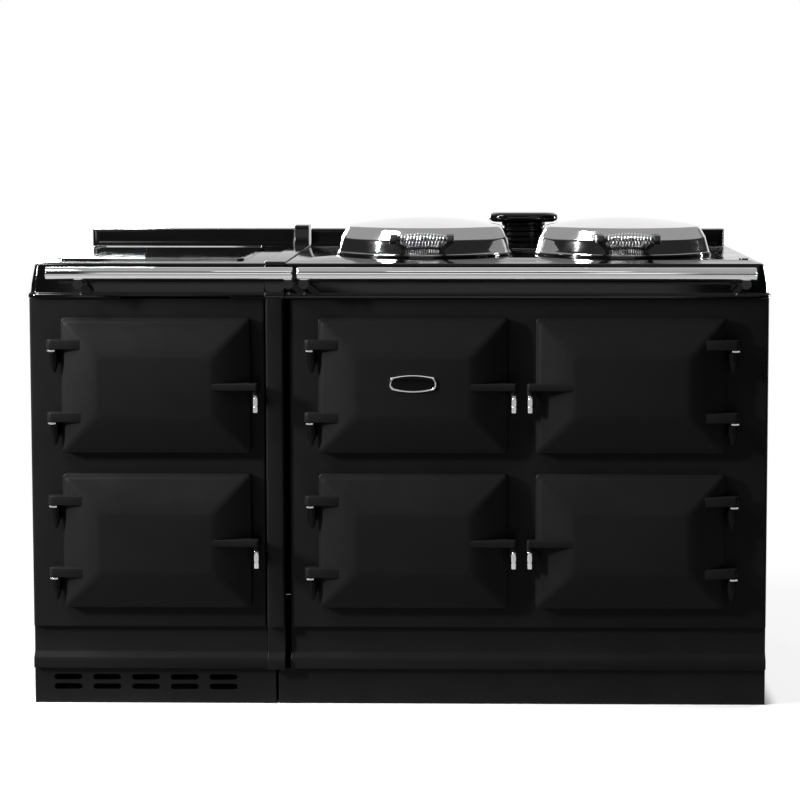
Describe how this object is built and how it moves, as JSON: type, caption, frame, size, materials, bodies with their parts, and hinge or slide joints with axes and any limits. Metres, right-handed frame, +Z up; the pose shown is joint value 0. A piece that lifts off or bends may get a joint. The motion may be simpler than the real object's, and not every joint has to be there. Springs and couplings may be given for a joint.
{
  "type": "cast iron range cooker",
  "caption": "Wide black enamelled cast iron range cooker: bevelled oven doors on lift-off hinges, domed chrome lids over hotplates, a glass hob, chrome handrails and a rear vent cowl.",
  "frame": {"origin": "on the floor under the middle of the cooker", "axes": "+Z up, the front faces -Y, +X to the right as seen from the front"},
  "size_m": [1.4812, 0.7556, 0.97],
  "materials": {
    "gloss_enamel": "gloss black vitreous enamel on cast iron",
    "satin_enamel": "satin black vitreous enamel on cast iron",
    "enamelled_sheet": "satin black enamel on steel sheet",
    "black_sheet": "semi-matt black paint on steel sheet",
    "polished_chrome": "polished chrome",
    "brushed_metal": "plain rolled metal, slightly brushed",
    "bare_cast_iron": "machined or cast bare iron",
    "hob_glass": "opaque black ceramic glass, polished",
    "black_handle": "black moulding"
  },
  "bodies": {
    "cabinet": {"left_top_plate": "gloss_enamel", "main_top_plate": "gloss_enamel", "joint_strip": "gloss_enamel", "left_back_riser": "gloss_enamel", "main_back_riser": "gloss_enamel", "vent_stem": "gloss_enamel", "vent_cap": "gloss_enamel", "left_front_plate": "satin_enamel", "main_front_plate": "satin_enamel", "left_base_moulding": "satin_enamel", "main_base_moulding": "satin_enamel", "joint_pillar": "satin_enamel", "left_side_panel": "enamelled_sheet", "right_side_panel": "enamelled_sheet", "left_plinth": "black_sheet", "main_plinth": "black_sheet", "left_back_panel": "black_sheet", "main_back_panel": "black_sheet", "hob_glass": "hob_glass", "hob_trim": "polished_chrome", "left_handrail": "polished_chrome", "main_handrail": "polished_chrome", "left_hotplate": "bare_cast_iron", "right_hotplate": "bare_cast_iron", "left_upper_oven": "bare_cast_iron", "left_lower_oven": "bare_cast_iron", "main_lower_left_oven": "bare_cast_iron", "main_upper_right_oven": "bare_cast_iron", "main_lower_right_oven": "bare_cast_iron", "control_compartment": "brushed_metal"},
    "left_upper_door": {"left_upper_door": "satin_enamel", "left_upper_door_lining": "brushed_metal", "left_upper_door_grip": "polished_chrome"},
    "left_lower_door": {"left_lower_door": "satin_enamel", "left_lower_door_lining": "brushed_metal", "left_lower_door_grip": "polished_chrome"},
    "main_upper_left_door": {"main_upper_left_door": "satin_enamel", "main_upper_left_door_lining": "brushed_metal", "main_upper_left_door_grip": "polished_chrome"},
    "main_lower_left_door": {"main_lower_left_door": "satin_enamel", "main_lower_left_door_lining": "brushed_metal", "main_lower_left_door_grip": "polished_chrome"},
    "main_upper_right_door": {"main_upper_right_door": "satin_enamel", "main_upper_right_door_lining": "brushed_metal", "main_upper_right_door_grip": "polished_chrome"},
    "main_lower_right_door": {"main_lower_right_door": "satin_enamel", "main_lower_right_door_lining": "brushed_metal", "main_lower_right_door_grip": "polished_chrome"},
    "left_lid": {"left_lid": "polished_chrome", "left_lid_pad": "brushed_metal", "left_lid_handle": "black_handle", "left_lid_handle_coil": "polished_chrome"},
    "right_lid": {"right_lid": "polished_chrome", "right_lid_pad": "brushed_metal", "right_lid_handle": "black_handle", "right_lid_handle_coil": "polished_chrome"},
    "left_hotplate_dial": {"left_hotplate_dial": "black_handle"},
    "oven_dial": {"oven_dial": "black_handle"},
    "right_hotplate_dial": {"right_hotplate_dial": "black_handle"}
  },
  "joints": [
    {"name": "left_upper_door_hinge", "type": "hinge", "parent": "cabinet", "child": "left_upper_door", "pos_m": [-0.683, -0.34025, 0.648], "axis": [0, 0, -1], "range_deg": [0, 110]},
    {"name": "left_lower_door_hinge", "type": "hinge", "parent": "cabinet", "child": "left_lower_door", "pos_m": [-0.683, -0.34025, 0.336], "axis": [0, 0, -1], "range_deg": [0, 110]},
    {"name": "main_upper_left_door_hinge", "type": "hinge", "parent": "cabinet", "child": "main_upper_left_door", "pos_m": [-0.1717, -0.34025, 0.648], "axis": [0, 0, -1], "range_deg": [0, 110]},
    {"name": "main_lower_left_door_hinge", "type": "hinge", "parent": "cabinet", "child": "main_lower_left_door", "pos_m": [-0.1717, -0.34025, 0.336], "axis": [0, 0, -1], "range_deg": [0, 110]},
    {"name": "main_upper_right_door_hinge", "type": "hinge", "parent": "cabinet", "child": "main_upper_right_door", "pos_m": [0.6625, -0.34025, 0.648], "axis": [0, 0, 1], "range_deg": [0, 110]},
    {"name": "main_lower_right_door_hinge", "type": "hinge", "parent": "cabinet", "child": "main_lower_right_door", "pos_m": [0.6625, -0.34025, 0.336], "axis": [0, 0, 1], "range_deg": [0, 110]},
    {"name": "left_lid_hinge", "type": "hinge", "parent": "cabinet", "child": "left_lid", "pos_m": [0.043, 0.22475, 0.915], "axis": [-1, 0, 0], "range_deg": [0, 95]},
    {"name": "right_lid_hinge", "type": "hinge", "parent": "cabinet", "child": "right_lid", "pos_m": [0.464, 0.22475, 0.915], "axis": [-1, 0, 0], "range_deg": [0, 95]},
    {"name": "left_hotplate_dial_turn", "type": "hinge", "parent": "cabinet", "child": "left_hotplate_dial", "pos_m": [-0.0667, -0.24425, 0.648], "axis": [0, 1, 0], "range_deg": [0, 270]},
    {"name": "oven_dial_turn", "type": "hinge", "parent": "cabinet", "child": "oven_dial", "pos_m": [0.0293, -0.24425, 0.648], "axis": [0, 1, 0], "range_deg": [0, 270]},
    {"name": "right_hotplate_dial_turn", "type": "hinge", "parent": "cabinet", "child": "right_hotplate_dial", "pos_m": [0.1253, -0.24425, 0.648], "axis": [0, 1, 0], "range_deg": [0, 270]}
  ]
}
